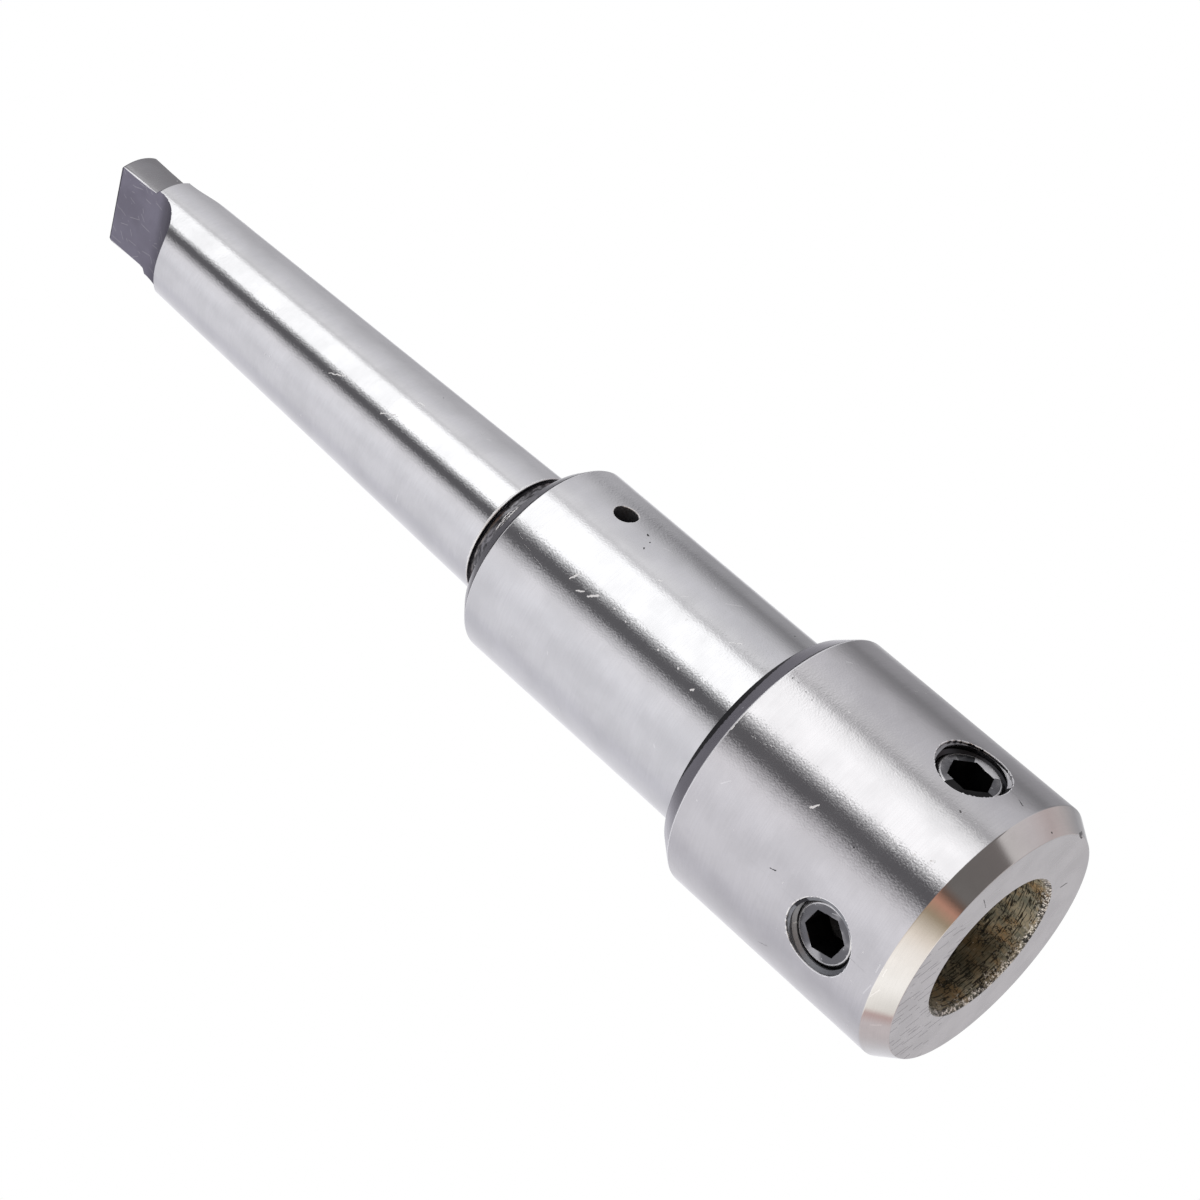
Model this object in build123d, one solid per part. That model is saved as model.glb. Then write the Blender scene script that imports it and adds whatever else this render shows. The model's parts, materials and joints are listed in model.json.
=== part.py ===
from build123d import *
import math
import os

# Weldon shank adapter: a turned steel holder that stands here on its front face.
# Origin at the centre of the front face, +Z along the axis towards the tang.
# The two clamping screws lie on +X and +Y. All sizes are in millimetres.

# Head, which takes the cutter shank
head_diameter = 36.5
head_length = 36.6
face_diameter = 32.6
front_bevel_length = 2.85
head_back_diameter = 32.6
head_back_bevel_length = 2.6

# Collar behind the head
collar_diameter = 27.5
collar_length = 40.0
collar_back_diameter = 24.6
collar_back_bevel_length = 1.6

# Relief groove between the collar and the taper
neck_depth = 0.8
neck_length = 3.5
neck_fillet = 0.5

# Morse taper no. 2 with its tang
taper_large_diameter = 18.0
taper_rate = 1 / 20.02
shank_length = 80.0
tang_diameter = 13.1
tang_turned_length = 7.7
tang_shoulder_length = 0.5
tang_end_thickness = 5.5
tang_root_thickness = 5.0
tang_turn = -3.0
tang_flat_length = 7.9
tang_cutter_radius = 7.0
tang_end_fillet = 0.3

# Shank bore, pilot bore and coolant hole
bore_diameter = 19.05
bore_depth = 38.0
bore_mouth_chamfer = 0.5
pilot_diameter = 8.2
pilot_end_height = 70.0
pilot_point_angle = 118.0
coolant_diameter = 3.2
coolant_height = 66.6

# Clamping screws and their tapped holes, drawn as plain cylinders at pitch diameter
screw_hole_diameter = 9.2
screw_hole_height = 11.4
screw_clearance = 0.05
screw_length = 7.2
screw_recess = 1.275
screw_face_diameter = 7.4
screw_face_bevel_length = 0.8
screw_cup_diameter = 5.5
screw_tip_bevel_length = 1.2
screw_cup_angle = 118.0
hex_across_flats = 5.0
hex_depth = 4.0
hex_mouth_diameter = 5.3
hex_turn_x = 14.0
hex_turn_y = -6.0

# How far a cutting tool starts outside the surface that it enters
overrun = 1.0

# Heights along the axis, from the front face
collar_end = head_length + collar_length
taper_start = collar_end + neck_length
top = taper_start + shank_length
tang_shoulder = top - tang_turned_length


def taper_diameter(height):
    return taper_large_diameter - (height - taper_start) * taper_rate


def drill_point_depth(diameter, point_angle):
    return diameter / 2 / math.tan(math.radians(point_angle / 2))


def turned_blank():
    """The outside of the adapter, turned about Z."""
    neck_radius = taper_large_diameter / 2 - neck_depth
    with BuildPart() as blank:
        with BuildSketch(Plane.XZ):
            with BuildLine():
                Polyline(
                    (0, 0),
                    (face_diameter / 2, 0),
                    (head_diameter / 2, front_bevel_length),
                    (head_diameter / 2, head_length - head_back_bevel_length),
                    (head_back_diameter / 2, head_length),
                    (collar_diameter / 2, head_length),
                    (collar_diameter / 2, collar_end - collar_back_bevel_length),
                    (collar_back_diameter / 2, collar_end),
                    (neck_radius, collar_end),
                    (neck_radius, taper_start),
                    (taper_large_diameter / 2, taper_start),
                    (taper_diameter(tang_shoulder) / 2, tang_shoulder),
                    (tang_diameter / 2, tang_shoulder + tang_shoulder_length),
                    (tang_diameter / 2, top),
                    (0, top),
                    close=True,
                )
            make_face()
            corners = [v for v in vertices() if abs(v.X - neck_radius) < 1e-6]
            fillet(corners, neck_fillet)
        revolve(axis=Axis.Z)
        end_edge = blank.edges().filter_by(GeomType.CIRCLE).sort_by(Axis.Z)[-1]
        fillet(end_edge, tang_end_fillet)
    return blank.part


def tang_waste():
    """What the cutter takes off one side of the tang, with its round run-out.
    The flat leans in a little towards its root."""
    flat = tang_root_thickness / 2
    flat_at_top = tang_end_thickness / 2
    outside = max(taper_large_diameter / 2, flat + tang_cutter_radius) + overrun
    flat_end = top - tang_flat_length
    arc_centre = (flat + tang_cutter_radius, flat_end)
    with BuildPart() as waste:
        with BuildSketch(Plane.XZ):
            with BuildLine():
                Polyline((flat_at_top, top + overrun), (flat_at_top, top), (flat, flat_end))
                run_out = CenterArc(arc_centre, tang_cutter_radius, 180, 90)
                Polyline(
                    run_out @ 1,
                    (outside, flat_end - tang_cutter_radius),
                    (outside, top + overrun),
                    (flat_at_top, top + overrun),
                )
            make_face()
        extrude(amount=taper_large_diameter / 2 + overrun, both=True)
    return waste.part.rotate(Axis.Z, tang_turn)


def blind_bore(diameter, full_depth, point_angle):
    """A drilled hole from the front face, with the cone of the drill's point."""
    point = drill_point_depth(diameter, point_angle)
    with BuildPart() as tool:
        with BuildSketch(Plane.XZ):
            with BuildLine():
                Polyline(
                    (0, -overrun),
                    (diameter / 2, -overrun),
                    (diameter / 2, full_depth),
                    (0, full_depth + point),
                    close=True,
                )
            make_face()
        revolve(axis=Axis.Z)
    return tool.part


def radial_plane(turn, height):
    """A plane on the axis at a height, whose normal points out at an angle from +X."""
    outward = (math.cos(math.radians(turn)), math.sin(math.radians(turn)), 0)
    return Plane(origin=(0, 0, height), x_dir=(0, 0, 1), z_dir=outward)


def radial_hole(diameter, turn, height, reach):
    """A hole from the axis out through one side."""
    hole = Cylinder(diameter / 2, reach, align=(Align.CENTER, Align.CENTER, Align.MIN))
    return radial_plane(turn, height) * hole


def adapter_body():
    body = turned_blank()
    waste = tang_waste()
    body = body - waste - waste.rotate(Axis.Z, 180)
    bore = Cylinder(bore_diameter / 2, bore_depth, align=(Align.CENTER, Align.CENTER, Align.MIN))
    mouth = Cone(
        bore_diameter / 2 + bore_mouth_chamfer,
        bore_diameter / 2,
        bore_mouth_chamfer,
        align=(Align.CENTER, Align.CENTER, Align.MIN),
    )
    body = body - bore - mouth - blind_bore(pilot_diameter, pilot_end_height, pilot_point_angle)
    for turn in (0, 90):
        reach = head_diameter / 2 + overrun
        body = body - radial_hole(screw_hole_diameter, turn, screw_hole_height, reach)
    reach = collar_diameter / 2 + overrun
    return body - radial_hole(coolant_diameter, 90, coolant_height, reach)


def set_screw(turn, hex_turn):
    """A cup-point set screw, sunk a little into the head, with its tip short of the bore."""
    radius = screw_hole_diameter / 2 - screw_clearance
    face = head_diameter / 2 - screw_recess
    tip = face - screw_length
    cup_depth = drill_point_depth(screw_cup_diameter, screw_cup_angle)
    socket_floor = face - hex_depth
    socket_point = drill_point_depth(hex_across_flats, screw_cup_angle)
    mouth_depth = drill_point_depth(hex_mouth_diameter, 90)
    with BuildPart() as screw:
        with BuildSketch(Plane.XZ):
            with BuildLine():
                Polyline(
                    (0, tip + cup_depth),
                    (screw_cup_diameter / 2, tip),
                    (radius, tip + screw_tip_bevel_length),
                    (radius, face - screw_face_bevel_length),
                    (screw_face_diameter / 2, face),
                    (0, face),
                    close=True,
                )
            make_face()
        revolve(axis=Axis.Z)
        with BuildSketch(Plane.XY.offset(face)):
            RegularPolygon(hex_across_flats / 2, 6, major_radius=False, rotation=hex_turn)
        extrude(amount=-hex_depth, mode=Mode.SUBTRACT)
        with Locations((0, 0, socket_floor)):
            Cone(
                0,
                hex_across_flats / 2,
                socket_point,
                align=(Align.CENTER, Align.CENTER, Align.MAX),
                mode=Mode.SUBTRACT,
            )
        with Locations((0, 0, face)):
            Cone(
                0,
                hex_mouth_diameter / 2,
                mouth_depth,
                align=(Align.CENTER, Align.CENTER, Align.MAX),
                mode=Mode.SUBTRACT,
            )
    return radial_plane(turn, screw_hole_height) * screw.part


parts = {
    "adapter_body": adapter_body(),
    "set_screw_x": set_screw(0, hex_turn_x),
    "set_screw_y": set_screw(90, hex_turn_y),
}

os.makedirs("parts", exist_ok=True)
for name, part in parts.items():
    export_step(part, f"parts/{name}.step")
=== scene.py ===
import json
import math
import bpy
import bmesh
from mathutils import Matrix, Vector


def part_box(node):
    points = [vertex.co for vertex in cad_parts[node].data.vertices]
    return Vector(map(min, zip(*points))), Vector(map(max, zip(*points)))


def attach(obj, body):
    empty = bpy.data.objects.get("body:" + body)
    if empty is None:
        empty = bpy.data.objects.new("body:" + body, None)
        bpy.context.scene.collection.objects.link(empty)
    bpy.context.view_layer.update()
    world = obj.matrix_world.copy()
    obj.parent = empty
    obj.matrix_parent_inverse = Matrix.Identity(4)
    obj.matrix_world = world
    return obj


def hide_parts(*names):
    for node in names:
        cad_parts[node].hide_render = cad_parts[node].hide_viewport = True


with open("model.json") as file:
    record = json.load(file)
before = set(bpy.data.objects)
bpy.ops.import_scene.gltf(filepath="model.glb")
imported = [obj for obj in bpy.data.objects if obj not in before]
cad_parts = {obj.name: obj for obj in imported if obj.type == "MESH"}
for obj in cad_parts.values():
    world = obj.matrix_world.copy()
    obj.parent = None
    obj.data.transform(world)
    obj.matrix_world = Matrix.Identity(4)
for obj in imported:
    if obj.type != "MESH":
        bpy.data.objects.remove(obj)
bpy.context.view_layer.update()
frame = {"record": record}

mm = 0.001
drillAngle = math.radians(59)     # half of a drill's point
mounts = {mount["name"]: mount for mount in frame["record"]["mounts"]}
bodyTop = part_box("adapter_body")[1].z / mm


# helpers for meshes

def newPiece(name, bm):
    mesh = bpy.data.meshes.new(name)
    bm.to_mesh(mesh)
    bm.free()
    piece = bpy.data.objects.new(name, mesh)
    bpy.context.scene.collection.objects.link(piece)
    return piece


def turnProfile(corners, steps):
    # corners are (radius, height, rounding) in mm; the line is spun about Z
    bm = bmesh.new()
    points = [bm.verts.new((radius * mm, 0, height * mm)) for radius, height, rounding in corners]
    for first, second in zip(points, points[1:]):
        bm.edges.new((first, second))
    if corners[0][0] > 0 and corners[-1][0] > 0:
        bm.edges.new((points[-1], points[0]))
    for point, corner in zip(points, corners):
        if corner[2] > 0:
            bmesh.ops.bevel(bm, geom=[point], offset=corner[2] * mm, offset_type="OFFSET", segments=4,
                            profile=0.5, affect="VERTICES", material=-1)
    bmesh.ops.spin(bm, geom=bm.verts[:] + bm.edges[:], cent=(0, 0, 0), axis=(0, 0, 1), angle=math.tau,
                   steps=steps, use_merge=True)
    bmesh.ops.remove_doubles(bm, verts=bm.verts[:], dist=0.0005 * mm)
    bmesh.ops.recalc_face_normals(bm, faces=bm.faces[:])
    return bm


def applyModifiers(piece):
    depsgraph = bpy.context.evaluated_depsgraph_get()
    mesh = bpy.data.meshes.new_from_object(piece.evaluated_get(depsgraph))
    piece.modifiers.clear()
    piece.data = mesh


def combine(piece, other, operation):
    modifier = piece.modifiers.new("combine", "BOOLEAN")
    modifier.operation = operation
    modifier.solver = "EXACT"
    modifier.object = other
    applyModifiers(piece)
    bpy.data.objects.remove(other)


def weldedMesh(piece):
    # the piece's mesh for editing, with vertices that touch merged
    bm = bmesh.new()
    bm.from_mesh(piece.data)
    bmesh.ops.remove_doubles(bm, verts=bm.verts[:], dist=0.001 * mm)
    return bm


def smoothShade(piece, angle=28):
    mesh = piece.data
    mesh.shade_smooth()
    mesh.set_sharp_from_angle(angle=math.radians(angle))
    weighted = piece.modifiers.new("weighted normals", "WEIGHTED_NORMAL")
    weighted.keep_sharp = True
    weighted.weight = 100
    applyModifiers(piece)


# adapter body

bodySizes = {
    "faceRadius": 16.3,
    "headRadius": 18.25,
    "frontBevel": 2.85,
    "headLength": 36.6,
    "backBevel": 2.6,
    "headBackRadius": 16.3,
    "collarRadius": 13.75,
    "collarEnd": 76.6,
    "collarBackRadius": 12.3,
    "collarBevel": 1.6,
    "neckRadius": 8.2,
    "taperStart": 80.1,
    "taperRadius": 9.0,
    "taperRate": 1 / 20.02,
    "tangRadius": 6.55,
    "tangTurned": 7.7,
    "tangShoulder": 0.5,
    "tangEnd": 5.5,
    "tangRoot": 5.0,
    "tangTurn": -3,
    "tangFlat": 7.9,
    "cutterRadius": 7.0,
    "boreDepth": 38.0,
    "mouthBevel": 0.5,
    "pilotEnd": 70.0,
    "screwHoleRadius": 4.6,
    "screwHeight": 11.4,
    "coolantHeight": 66.6,
    "steps": 400,
    "edge": 0.12,
    "backEdge": 0.25,
    "tangEdge": 0.12,
    "runOutEdge": 0.04,
    "rimEdge": 0.16,
    "coolantEdge": 0.11,
    "shortEdge": 0.06,
}


def bodyCorners():
    s = bodySizes
    top = bodyTop
    boreRadius = mounts["shank_bore"]["dims"]["r_mm"]
    pilotRadius = mounts["pilot_bore"]["dims"]["r_mm"]
    shoulder = top - s["tangTurned"]
    smallRadius = s["taperRadius"] - (shoulder - s["taperStart"]) * s["taperRate"] / 2
    pilotPoint = pilotRadius / math.tan(drillAngle)
    return [
        (0, s["pilotEnd"] + pilotPoint, 0),
        (pilotRadius, s["pilotEnd"], 0),
        (pilotRadius, s["boreDepth"], 0),
        (boreRadius, s["boreDepth"], 0),
        (boreRadius, s["mouthBevel"], 0.1),
        (boreRadius + s["mouthBevel"], 0, 0.1),
        (s["faceRadius"], 0, s["edge"]),
        (s["headRadius"], s["frontBevel"], s["edge"]),
        (s["headRadius"], s["headLength"] - s["backBevel"], s["edge"]),
        (s["headBackRadius"], s["headLength"], s["backEdge"]),
        (s["collarRadius"], s["headLength"], s["edge"]),
        (s["collarRadius"], s["collarEnd"] - s["collarBevel"], s["edge"]),
        (s["collarBackRadius"], s["collarEnd"], s["edge"]),
        (s["neckRadius"], s["collarEnd"], 0.5),
        (s["neckRadius"], s["taperStart"], 0.5),
        (s["taperRadius"], s["taperStart"], s["edge"]),
        (smallRadius, shoulder, s["edge"]),
        (s["tangRadius"], shoulder + s["tangShoulder"], s["edge"]),
        (s["tangRadius"], top, 0.3),
        (0, top, 0),
    ]


def cylinderCutter(radius, length, turn, height, segments):
    # a round bar from the axis outwards, at an angle from +X
    bm = bmesh.new()
    bmesh.ops.create_cone(bm, cap_ends=True, segments=segments, radius1=radius * mm, radius2=radius * mm,
                          depth=length * mm)
    bmesh.ops.translate(bm, verts=bm.verts[:], vec=(0, 0, length * mm / 2))
    place = Matrix.Translation((0, 0, height * mm)) @ Matrix.Rotation(math.radians(turn), 4, "Z")
    bmesh.ops.transform(bm, matrix=place @ Matrix.Rotation(math.pi / 2, 4, "Y"), verts=bm.verts[:])
    return newPiece("cutter", bm)


def tangCutter(side):
    # the milling cutter's path beside the tang, with its round run-out
    s = bodySizes
    top = bodyTop
    root = s["tangRoot"] / 2
    end = s["tangEnd"] / 2
    flatEnd = top - s["tangFlat"]
    reach = 16.0
    bm = bmesh.new()
    start = bm.verts.new((root * mm, 0, flatEnd * mm))
    centre = Vector((root + s["cutterRadius"], 0, flatEnd)) * mm
    arc = bmesh.ops.spin(bm, geom=[start], cent=centre, axis=(0, 1, 0), angle=-math.pi / 2, steps=24)
    last = [item for item in arc["geom_last"] if isinstance(item, bmesh.types.BMVert)][0]
    corners = [last]
    outline = ((reach, flatEnd - s["cutterRadius"]), (reach, top + 2), (end, top + 2), (end, top))
    for across, height in outline:
        corners.append(bm.verts.new((across * mm, 0, height * mm)))
    corners.append(start)
    for first, second in zip(corners, corners[1:]):
        bm.edges.new((first, second))
    bmesh.ops.contextual_create(bm, geom=bm.edges[:])
    slab = bmesh.ops.extrude_face_region(bm, geom=bm.faces[:])
    moved = [item for item in slab["geom"] if isinstance(item, bmesh.types.BMVert)]
    bmesh.ops.translate(bm, verts=moved, vec=(0, 30 * mm, 0))
    bmesh.ops.translate(bm, verts=bm.verts[:], vec=(0, -15 * mm, 0))
    turn = math.radians(s["tangTurn"] + (180 if side < 0 else 0))
    bmesh.ops.rotate(bm, verts=bm.verts[:], cent=(0, 0, 0), matrix=Matrix.Rotation(turn, 3, "Z"))
    bmesh.ops.recalc_face_normals(bm, faces=bm.faces[:])
    return newPiece("cutter", bm)


def sharpEdges(bm, low, high, inner, outer):
    # sharp edges between two heights and two distances from the axis, in mm
    found = []
    for edge in bm.edges:
        if not edge.is_manifold or edge.calc_face_angle() < 0.5:
            continue
        heights = [vert.co.z / mm for vert in edge.verts]
        radii = [vert.co.xy.length / mm for vert in edge.verts]
        if low < min(heights) and max(heights) < high and inner < min(radii) and max(radii) < outer:
            found.append(edge)
    return found


def bevelEdges(bm, edges, offset):
    # edges too short for the rounding are merged first, in the order of their vertices
    bm.verts.index_update()
    rim = sorted({vert for edge in edges for vert in edge.verts}, key=lambda vert: vert.index)
    bmesh.ops.remove_doubles(bm, verts=rim, dist=bodySizes["shortEdge"] * mm)
    edges = [edge for edge in edges if edge.is_valid and edge.calc_length() > 0]
    bmesh.ops.bevel(bm, geom=edges, offset=offset * mm, offset_type="OFFSET", segments=2,
                    profile=0.5, affect="EDGES", material=-1, clamp_overlap=False)


def makeBody():
    s = bodySizes
    body = newPiece("adapterBody", turnProfile(bodyCorners(), s["steps"]))
    for side in (1, -1):
        combine(body, tangCutter(side), "DIFFERENCE")
    for turn in (0, 90):
        combine(body, cylinderCutter(s["screwHoleRadius"], 20, turn, s["screwHeight"], 128), "DIFFERENCE")
    coolantRadius = mounts["coolant_hole"]["dims"]["r_mm"]
    combine(body, cylinderCutter(coolantRadius, 16, 90, s["coolantHeight"], 64), "DIFFERENCE")
    bm = weldedMesh(body)
    flatStart = bodyTop - s["tangFlat"] - s["cutterRadius"] - 0.5
    shoulder = bodyTop - s["tangTurned"]
    bevelEdges(bm, sharpEdges(bm, flatStart, shoulder - 0.1, 0, 20), s["runOutEdge"])
    bevelEdges(bm, sharpEdges(bm, shoulder + s["tangShoulder"] + 0.1, 200, 0, 20), s["tangEdge"])
    screwHeight, screwReach = s["screwHeight"], s["screwHoleRadius"] + 0.2
    bevelEdges(bm, sharpEdges(bm, screwHeight - screwReach, screwHeight + screwReach, 17, 19), s["rimEdge"])
    bevelEdges(bm, sharpEdges(bm, s["coolantHeight"] - 2, s["coolantHeight"] + 2, 13, 14), s["coolantEdge"])
    bm.to_mesh(body.data)
    bm.free()
    smoothShade(body)
    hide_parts("adapter_body")
    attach(body, "holder")
    print("adapter body", len(body.data.polygons), "faces")
    return body


# set screws, and the threads in their holes

screwSizes = {
    "height": 11.4,
    "face": 16.975,
    "length": 7.2,
    "coreRadius": 4.08,
    "crestRadius": 4.55,
    "faceRadius": 3.7,
    "cupRadius": 2.75,
    "pitch": 1.5,
    "rootHalf": 0.62,
    "crestHalf": 0.14,
    "stepsPerTurn": 72,
    "hexFlats": 5.0,
    "hexDepth": 4.0,
    "mouthRadius": 2.55,
    "holeRoot": 4.66,
    "holeCrest": 4.2,
    "holeRootHalf": 0.55,
    "holeCrestHalf": 0.12,
    "wallFrom": 9.8,
    "wallTo": 18.02,
    "turns": {"set_screw_x": (0, 14), "set_screw_y": (90, -6)},
}


def placeOutward(piece, turn):
    # from a frame whose Z points out of the hole into the frame of the part
    outward = Vector((math.cos(math.radians(turn)), math.sin(math.radians(turn)), 0))
    along = Vector((0, 0, 1))
    axes = Matrix((along, outward.cross(along), outward)).transposed().to_4x4()
    piece.data.transform(Matrix.Translation((0, 0, screwSizes["height"] * mm)) @ axes)


def threadRidge(inner, outer, innerHalf, outerHalf, low, high, shift):
    s = screwSizes
    turns = math.ceil((high - low) / s["pitch"]) + 1
    start = low - s["pitch"] + shift
    bm = bmesh.new()
    corners = [(inner, -innerHalf), (outer, -outerHalf), (outer, outerHalf), (inner, innerHalf)]
    verts = [bm.verts.new((radius * mm, 0, (start + across) * mm)) for radius, across in corners]
    first = bm.faces.new(verts)
    step = (0, 0, s["pitch"] * mm / s["stepsPerTurn"])
    swept = bmesh.ops.spin(bm, geom=verts + first.edges[:], cent=(0, 0, 0), axis=(0, 0, 1), dvec=step,
                           angle=math.tau * turns, steps=turns * s["stepsPerTurn"])
    lastVerts = [item for item in swept["geom_last"] if isinstance(item, bmesh.types.BMVert)]
    bmesh.ops.contextual_create(bm, geom=lastVerts)
    bmesh.ops.recalc_face_normals(bm, faces=bm.faces[:])
    return newPiece("ridge", bm)


def makeScrew(name, node, body):
    s = screwSizes
    turn, hexTurn = s["turns"][node]
    face = s["face"]
    tip = face - s["length"]
    cup = s["cupRadius"] / math.tan(drillAngle)
    envelope = newPiece("cutter", turnProfile([
        (0, tip + cup, 0), (s["cupRadius"], tip, 0), (s["crestRadius"] + 0.01, tip + 1.2, 0),
        (s["crestRadius"] + 0.01, face - 0.8, 0), (s["faceRadius"], face, 0), (0, face, 0)], 96))
    ridge = threadRidge(s["coreRadius"] - 0.1, s["crestRadius"], s["rootHalf"], s["crestHalf"], tip, face, 0)
    combine(ridge, envelope, "INTERSECT")
    screw = newPiece(name, turnProfile([
        (0, tip + cup, 0), (s["cupRadius"], tip, 0.1), (s["coreRadius"], tip + 0.89, 0.1),
        (s["coreRadius"], face - 0.36, 0), (s["faceRadius"], face, 0.12), (0, face, 0)], 96))
    combine(screw, ridge, "UNION")
    corner = s["hexFlats"] / 2 / math.cos(math.radians(30))
    prism = newPiece("cutter", turnProfile([
        (0, face - s["hexDepth"], 0), (corner, face - s["hexDepth"], 0), (corner, face + 1, 0),
        (0, face + 1, 0)], 6))
    prism.data.transform(Matrix.Rotation(math.radians(hexTurn), 4, "Z"))
    combine(screw, prism, "DIFFERENCE")
    drillRadius = s["hexFlats"] / 2
    point = face - s["hexDepth"] - drillRadius / math.tan(drillAngle)
    drill = turnProfile([
        (0, point, 0), (drillRadius, face - s["hexDepth"], 0), (drillRadius, face - s["hexDepth"] + 0.1, 0),
        (0, face - s["hexDepth"] + 0.1, 0)], 48)
    combine(screw, newPiece("cutter", drill), "DIFFERENCE")
    mouth = turnProfile([
        (0, face - s["mouthRadius"], 0), (s["mouthRadius"] + 0.5, face + 0.5, 0), (0, face + 0.5, 0)], 72)
    combine(screw, newPiece("cutter", mouth), "DIFFERENCE")
    bm = weldedMesh(screw)
    bm.to_mesh(screw.data)
    bm.free()
    placeOutward(screw, turn)
    smoothShade(screw, 32)
    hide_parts(node)
    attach(screw, body)
    print(node, len(screw.data.polygons), "faces")
    return screw


def makeHoleThread(name, turn):
    s = screwSizes
    ridge = threadRidge(s["holeRoot"], s["holeCrest"], s["holeRootHalf"], s["holeCrestHalf"],
                        s["face"] - s["length"] - 1.5, s["face"] + 1.5, s["pitch"] / 2)
    placeOutward(ridge, turn)
    near, far = s["wallFrom"], s["wallTo"]
    wall = newPiece("cutter", turnProfile([(near, 0, 0), (far, 0, 0), (far, 24, 0), (near, 24, 0)], 192))
    combine(ridge, wall, "INTERSECT")
    ridge.name = name
    smoothShade(ridge, 32)
    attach(ridge, "holder")
    print(name, len(ridge.data.polygons), "faces")
    return ridge


# node helpers

def mathNode(tree, operation, first, second=None):
    node = tree.nodes.new("ShaderNodeMath")
    node.operation = operation
    for socket, value in ((node.inputs[0], first), (node.inputs[1], second)):
        if value is None:
            continue
        if isinstance(value, (int, float)):
            socket.default_value = value
        else:
            tree.links.new(value, socket)
    return node.outputs[0]


def times(tree, first, second):
    return mathNode(tree, "MULTIPLY", first, second)


def plus(tree, first, second):
    return mathNode(tree, "ADD", first, second)


def minus(tree, first, second):
    return mathNode(tree, "SUBTRACT", first, second)


def objectPlace(tree):
    return tree.nodes.new("ShaderNodeTexCoord").outputs["Object"]


def splitNode(tree, value, kind="XYZ"):
    node = tree.nodes.new("ShaderNodeSeparate" + kind)
    tree.links.new(value, node.inputs[0])
    return node


def bumpNormal(tree, height, distance):
    # the distance is in mm
    bump = tree.nodes.new("ShaderNodeBump")
    bump.inputs["Distance"].default_value = distance * mm
    tree.links.new(height, bump.inputs["Height"])
    return bump.outputs[0]


def newMaterial(name):
    material = bpy.data.materials.new(name)
    material.use_nodes = True
    return material, material.node_tree, material.node_tree.nodes["Principled BSDF"]


def mixColour(tree, factor, first, second, blend="MIX"):
    node = tree.nodes.new("ShaderNodeMix")
    node.data_type = "RGBA"
    node.blend_type = blend
    if isinstance(factor, (int, float)):
        node.inputs[0].default_value = factor
    else:
        tree.links.new(factor, node.inputs[0])
    for socket, value in ((node.inputs[6], first), (node.inputs[7], second)):
        if isinstance(value, tuple):
            socket.default_value = (*value[:3], 1)
        else:
            tree.links.new(value, socket)
    return node.outputs[2]


def mapRange(tree, value, low, high, toLow=0.0, toHigh=1.0):
    node = tree.nodes.new("ShaderNodeMapRange")
    node.interpolation_type = "SMOOTHSTEP"
    tree.links.new(value, node.inputs[0])
    for socket, number in zip(node.inputs[1:5], (low, high, toLow, toHigh)):
        socket.default_value = number
    return node.outputs[0]


# shared effects

def newGroup(name, inputs, outputs):
    group = bpy.data.node_groups.new(name, "ShaderNodeTree")
    for label, default in inputs:
        socket = group.interface.new_socket(name=label, in_out="INPUT", socket_type="NodeSocketFloat")
        socket.default_value = default
    for label in outputs:
        group.interface.new_socket(name=label, in_out="OUTPUT", socket_type="NodeSocketFloat")
    return group, group.nodes.new("NodeGroupInput"), group.nodes.new("NodeGroupOutput")


def vectorNode(tree, operation, first, second=None, scale=None):
    node = tree.nodes.new("ShaderNodeVectorMath")
    node.operation = operation
    for socket, value in ((node.inputs[0], first), (node.inputs[1], second), (node.inputs[3], scale)):
        if value is None:
            continue
        if isinstance(value, (int, float, tuple)):
            socket.default_value = value
        else:
            tree.links.new(value, socket)
    return node.outputs["Value" if operation in ("LENGTH", "DISTANCE", "DOT_PRODUCT") else "Vector"]


def noiseNode(tree, vector, scale, detail=2.0, roughness=0.5, output=0):
    node = tree.nodes.new("ShaderNodeTexNoise")
    tree.links.new(vector, node.inputs["Vector"])
    node.inputs["Detail"].default_value = detail
    node.inputs["Roughness"].default_value = roughness
    if isinstance(scale, (int, float)):
        node.inputs["Scale"].default_value = scale
    else:
        tree.links.new(scale, node.inputs["Scale"])
    return node.outputs[output]


def makeTurnedLines():
    # fine marks of the lathe or grinding wheel, running round the axis
    group, given, out = newGroup("turnedLines", [("Along", 3000), ("Around", 3)], ["Lines", "Bands"])
    place = objectPlace(group)
    split = splitNode(group, place)
    flat = vectorNode(group, "MULTIPLY", place, (1, 1, 0))
    reach = plus(group, vectorNode(group, "LENGTH", flat), split.outputs[2])
    around = vectorNode(group, "SCALE", vectorNode(group, "NORMALIZE", flat), scale=given.outputs["Around"])
    for label, part in (("Lines", 1.0), ("Bands", 0.06)):
        along = times(group, times(group, reach, given.outputs["Along"]), part)
        upright = group.nodes.new("ShaderNodeCombineXYZ")
        group.links.new(along, upright.inputs[2])
        group.links.new(noiseNode(group, vectorNode(group, "ADD", around, upright.outputs[0]), 1.0, 2.0, 0.6),
                        out.inputs[label])
    return group


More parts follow.
